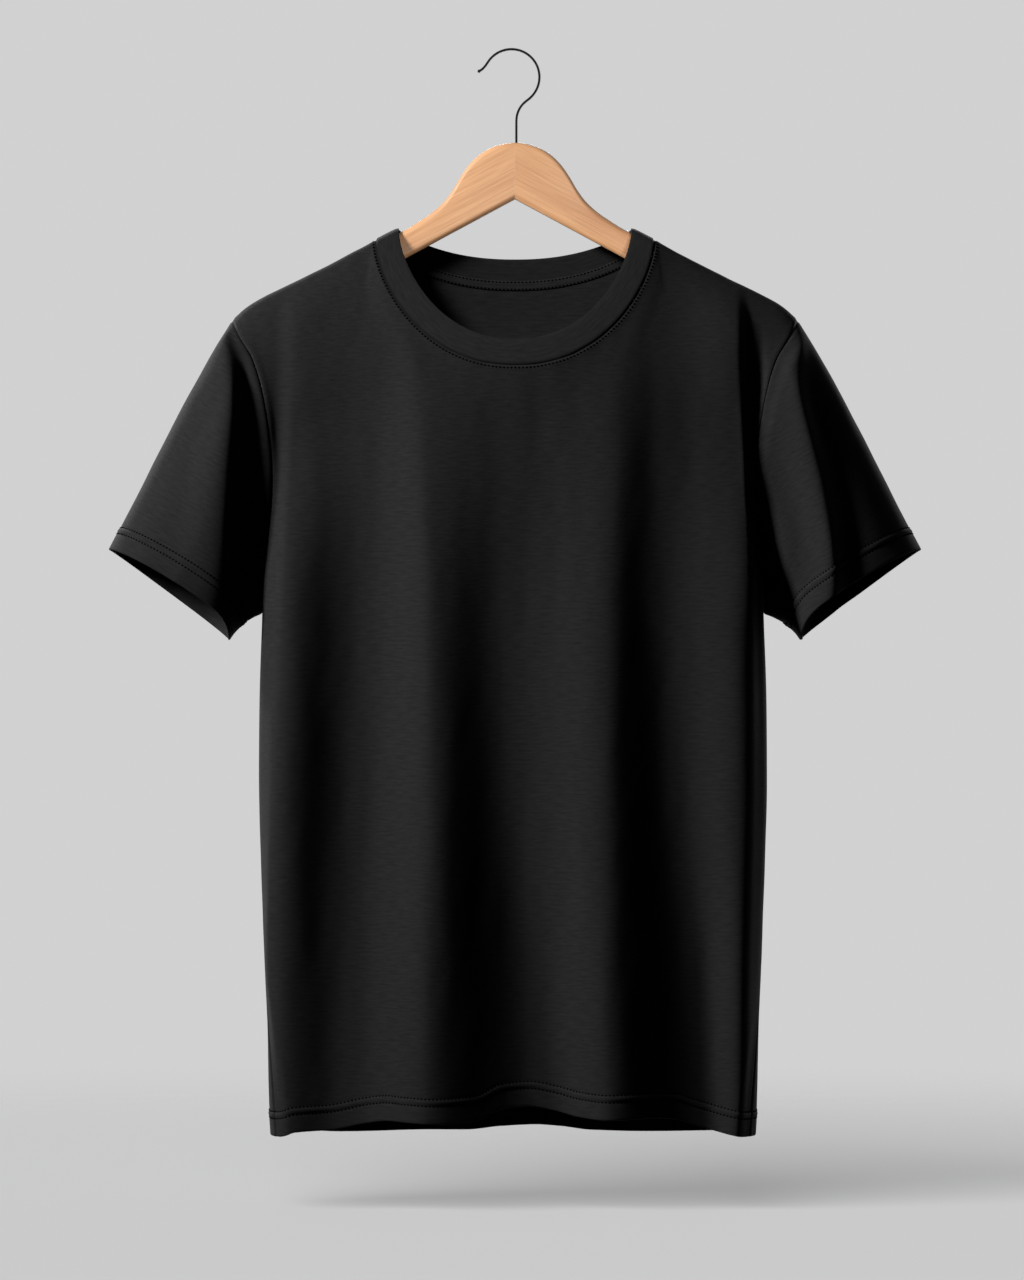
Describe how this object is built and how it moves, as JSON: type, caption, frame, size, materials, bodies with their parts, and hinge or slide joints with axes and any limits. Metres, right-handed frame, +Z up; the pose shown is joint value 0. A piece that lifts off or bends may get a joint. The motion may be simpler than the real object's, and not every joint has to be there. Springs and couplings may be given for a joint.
{
  "type": "crew neck t-shirt on a wooden hanger",
  "caption": "Plain black short-sleeved crew neck t-shirt hanging open and filled out on a two-part wooden hanger with a bent wire hook.",
  "frame": {"origin": "underside of the hook's crown, where the rail it hangs on touches it", "axes": "+Z up, from the hem to the hook; -Y out of the shirt's front; +X to the right as seen from the front"},
  "size_m": [0.65, 0.1649, 0.8709],
  "materials": {
    "jersey": "matt cotton jersey",
    "rib_knit": "matt fine rib knit",
    "tape": "matt cotton tape",
    "beech": "clear satin lacquer",
    "wire": "darkened steel wire"
  },
  "bodies": {
    "root": {"front_panel": "jersey", "back_panel": "jersey", "sleeve_left": "jersey", "sleeve_right": "jersey", "neck_rib": "rib_knit", "neck_tape": "tape", "hanger_left": "beech", "hanger_right": "beech", "hanger_hook": "wire"}
  },
  "joints": []
}
